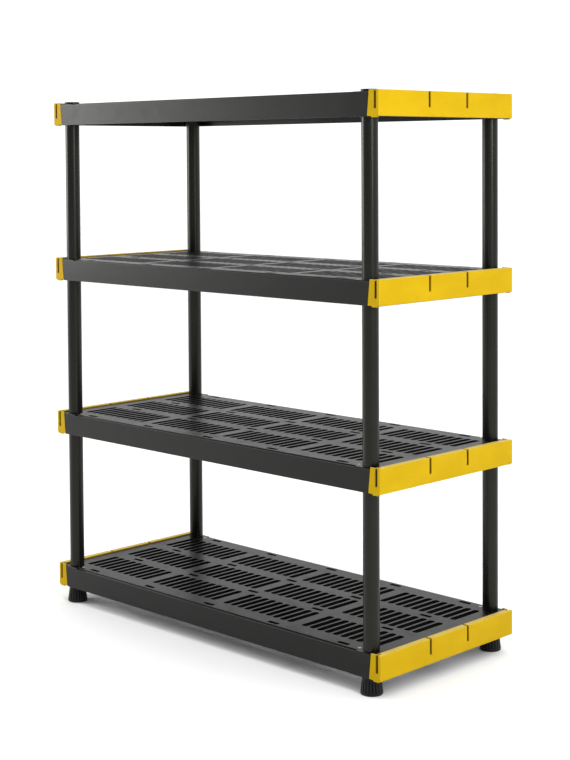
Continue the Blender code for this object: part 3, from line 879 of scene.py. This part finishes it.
def makePosts():
    p = post
    low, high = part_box("post_front_left_1")
    length = high.z - low.z
    tube = addRound("postMaster", (high.x - low.x) / 2, (0, 0), 0, length, p["corners"], "NOTHING")
    useModifier(tube, "SOLIDIFY", thickness=p["wall"], offset=-1, use_even_offset=True)
    for level in (0, length):
        roundEdges(tube, creased(lambda co: near(co.z, level)), p["rimRound"], 2)
    faceOut(tube)
    smoothOff(tube)
    paint(tube, postPlastic)
    markPlace(tube)
    for faceName, face in faces:
        for sideName, side in sides:
            for tier in tiers[:-1]:
                node = f"post_{face}_{side}_{tier}"
                spot = middleOf(node)
                piece = copyTo(tube, f"post{faceName}{sideName}{tier}", (spot.x, spot.y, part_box(node)[0].z))
                standFor(piece, node)
    bpy.data.objects.remove(tube, do_unlink=True)


def makeFeet():
    f = foot
    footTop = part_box("foot_front_right")[1].z
    shoulder = footTop - f["spigotLength"]
    slope = (f["bottomRadius"] - f["topRadius"]) / (shoulder - f["edge"])
    clearSelection()
    corners = f["flutes"] * f["cornersPerFlute"]
    bpy.ops.mesh.primitive_cone_add(vertices=corners, radius1=f["bottomRadius"] + slope * f["edge"],
                                    radius2=f["topRadius"], depth=shoulder, end_fill_type="NGON",
                                    location=(0, 0, shoulder / 2))
    cone = bpy.context.object
    cone.name = "footMaster"
    settle(cone)
    roundEdges(cone, creased(lambda co: near(co.z, 0)), f["edge"], 5)
    roundEdges(cone, creased(lambda co: near(co.z, shoulder)), f["shoulderRound"], 2)
    startEdit(cone, "FACE")
    for level in (f["fluteFrom"], f["fluteFrom"] + f["fade"], f["fluteTo"] - f["fade"], f["fluteTo"]):
        bpy.ops.mesh.select_all(action="SELECT")
        bpy.ops.mesh.bisect(plane_co=(0, 0, level), plane_no=(0, 0, 1))
    bpy.ops.mesh.select_mode(type="VERT")

    def inGroove(spread):
        def test(corner):
            turn = math.atan2(corner.co.y, corner.co.x) / math.tau * f["flutes"] % 1
            offset = abs(turn - 0.5) * f["cornersPerFlute"]
            between = f["fluteFrom"] + f["levelSlack"] < corner.co.z < f["fluteTo"] - f["levelSlack"]
            return between and offset < spread
        return test
    shrink = 1 - f["fluteDepth"] / 2 / f["bottomRadius"]
    for spread in f["grooveSpreads"]:
        pick(cone, "verts", inGroove(spread))
        bpy.ops.transform.resize(value=(shrink, shrink, 1), center_override=(0, 0, 0))
    bpy.ops.mesh.select_mode(type="FACE")
    pick(cone, "faces", faceFacing((0, 0, 1), shoulder))
    bpy.ops.mesh.inset(thickness=f["topRadius"] - f["shoulderRound"] - f["spigotRadius"])
    bpy.ops.mesh.extrude_region_move(TRANSFORM_OT_translate={"value": (0, 0, f["spigotLength"])})
    bpy.ops.mesh.inset(thickness=f["spigotWall"])
    bpy.ops.mesh.extrude_region_move(TRANSFORM_OT_translate={"value": (0, 0, f["floor"] - footTop)})
    pick(cone, "faces", faceFacing((0, 0, -1), 0))
    bpy.ops.mesh.inset(thickness=f["soleRing"])
    bpy.ops.mesh.extrude_region_move(TRANSFORM_OT_translate={"value": (0, 0, f["soleRecess"])})
    stopEdit()
    faceOut(cone)
    smoothOff(cone, 38)
    paint(cone, footPlastic)
    markPlace(cone)
    print("foot:", len(cone.data.polygons), "faces")
    for faceName, face in faces:
        for sideName, side in sides:
            node = f"foot_{face}_{side}"
            spot = middleOf(node)
            standFor(copyTo(cone, f"foot{faceName}{sideName}", (spot.x, spot.y, 0)), node)
    bpy.data.objects.remove(cone, do_unlink=True)


def makePlugs():
    p = plug
    low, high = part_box("post_plug_front_right")
    skirt = high.z - low.z - p["height"]
    head = addRound("plugMaster", p["radius"], (0, 0), 0, p["height"], p["corners"])
    roundEdges(head, creased(lambda co: near(co.z, p["height"])), p["edge"], 4)
    startEdit(head, "FACE")
    pick(head, "faces", faceFacing((0, 0, 1), p["height"]))
    bpy.ops.mesh.inset(thickness=p["dishFromEdge"] - p["edge"])
    bpy.ops.mesh.inset(thickness=p["dishEdge"])
    bpy.ops.transform.translate(value=(0, 0, -p["dishDepth"]))
    bpy.ops.mesh.inset(thickness=p["radius"] - p["dishFromEdge"] - p["dishEdge"] - p["gateRadius"])
    bpy.ops.mesh.inset(thickness=p["gateDepth"])
    bpy.ops.transform.translate(value=(0, 0, -p["gateDepth"]))
    pick(head, "faces", faceFacing((0, 0, -1), 0))
    bpy.ops.mesh.inset(thickness=p["radius"] - p["skirtRadius"])
    bpy.ops.mesh.extrude_region_move(TRANSFORM_OT_translate={"value": (0, 0, -skirt)})
    bpy.ops.mesh.inset(thickness=p["wall"])
    depth = skirt + p["height"] - p["topWall"]
    bpy.ops.mesh.extrude_region_move(TRANSFORM_OT_translate={"value": (0, 0, depth)})
    stopEdit()
    faceOut(head)
    smoothOff(head, 38)
    paint(head, plugPlastic)
    markPlace(head)
    for faceName, face in faces:
        for sideName, side in sides:
            node = f"post_plug_{face}_{side}"
            spot = middleOf(node)
            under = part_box(node)[1].z - p["height"]
            standFor(copyTo(head, f"plug{faceName}{sideName}", (spot.x, spot.y, under)), node)
    bpy.data.objects.remove(head, do_unlink=True)


makeTrays()
print("trays placed")
makeCaps()
print("end caps placed")
makePosts()
makeFeet()
makePlugs()
print("posts, feet and plugs placed")


# floor, light and camera

stageLook = {
    "floorSize": 60.0, "floorBase": 0.93, "floorWorn": 0.90, "floorRoughness": 0.9, "floorGloss": 0.1,
    "white": (1.0, 1.0, 1.0, 1.0), "skyFront": 0.40, "skyBack": 1.20, "skyMiddle": -0.45, "skyTop": 1.25,
    "aheadBand": (-0.7, 0.3), "middleBand": (0.15, 0.40), "topBand": (0.40, 0.85),
}

lights = {
    "aim": (0, 0, 0.8),
    "left": {"spot": (-3.2, -1.8, 1.5), "size": (1.5, 1.5), "power": 58},
    "right": {"spot": (1.9, -0.7, 1.9), "size": (0.9, 0.9), "power": 9},
    "strip": {"spot": (3.7, -0.9, 2.1), "size": (0.4, 2.0), "power": 48},
}


def makeFloor():
    clearSelection()
    bpy.ops.mesh.primitive_plane_add(size=stageLook["floorSize"], location=(0, 0, 0))
    floor = bpy.context.object
    floor.name = "studioFloor"
    finish = Finish("floorPaint", Specular_IOR_Level=stageLook["floorGloss"])
    cloud = finish.noise(0.8, 2.0)
    colour = finish.mixed(cloud * 0.3, grey(stageLook["floorBase"]), grey(stageLook["floorWorn"]))
    paint(floor, finish.shade(Base_Color=colour, Roughness=stageLook["floorRoughness"] + cloud * 0.02))


def makeSky():
    # white all round, brighter overhead and low down behind the unit than in front of it
    world = bpy.data.worlds.new("softWhiteRoom")
    bpy.context.scene.world = world
    world.use_nodes = True
    sky = Graph(world.node_tree)
    ahead, up = sky.split(sky.node("ShaderNodeTexCoord", output="Generated"))[1:]

    def ramp(value, band, bottom, top):
        return sky.node("ShaderNodeMapRange", None, {"Value": value, "From Min": band[0], "From Max": band[1],
                                                     "To Min": bottom, "To Max": top})
    level = ramp(ahead, stageLook["aheadBand"], stageLook["skyFront"], stageLook["skyBack"])
    middle = ramp(up, stageLook["middleBand"], 0, stageLook["skyMiddle"])
    overhead = ramp(up, stageLook["topBand"], 0, stageLook["skyTop"])
    glow = world.node_tree.nodes["Background"]
    glow.inputs["Color"].default_value = stageLook["white"]
    sky.feed(glow.inputs["Strength"], level + middle + overhead)


def addSoftLight(name):
    light = lights[name]
    clearSelection()
    bpy.ops.object.light_add(type="AREA", location=light["spot"])
    lamp = bpy.context.object
    lamp.name = f"{name}Light"
    lamp.data.shape = "RECTANGLE"
    lamp.data.size, lamp.data.size_y = light["size"]
    lamp.data.energy = light["power"]
    lamp.rotation_euler = (Vector(lights["aim"]) - Vector(light["spot"])).to_track_quat("-Z", "Y").to_euler()


cameraSet = {
    "spot": (2.9734, -2.9467, 1.2674), "yaw": 0.78046, "pitch": -0.04215, "roll": -0.00615,
    "sensor": 36, "lens": 74.22, "shiftUp": -0.2105, "clipEnd": 200,
}


def makeCamera():
    clearSelection()
    bpy.ops.object.camera_add(location=cameraSet["spot"])
    camera = bpy.context.object
    camera.name = "viewCamera"
    turn = (Matrix.Rotation(cameraSet["yaw"], 3, "Z")
            @ Matrix.Rotation(math.pi / 2 + cameraSet["pitch"], 3, "X")
            @ Matrix.Rotation(cameraSet["roll"], 3, "Z"))
    camera.rotation_euler = turn.to_euler()
    camera.data.sensor_width = cameraSet["sensor"]
    camera.data.lens = cameraSet["lens"]
    camera.data.shift_y = cameraSet["shiftUp"]
    camera.data.clip_end = cameraSet["clipEnd"]
    bpy.context.scene.camera = camera


makeFloor()
makeSky()
for lampName in ("left", "right", "strip"):
    addSoftLight(lampName)
makeCamera()
bpy.context.scene.view_settings.view_transform = "Standard"
print("stage set")
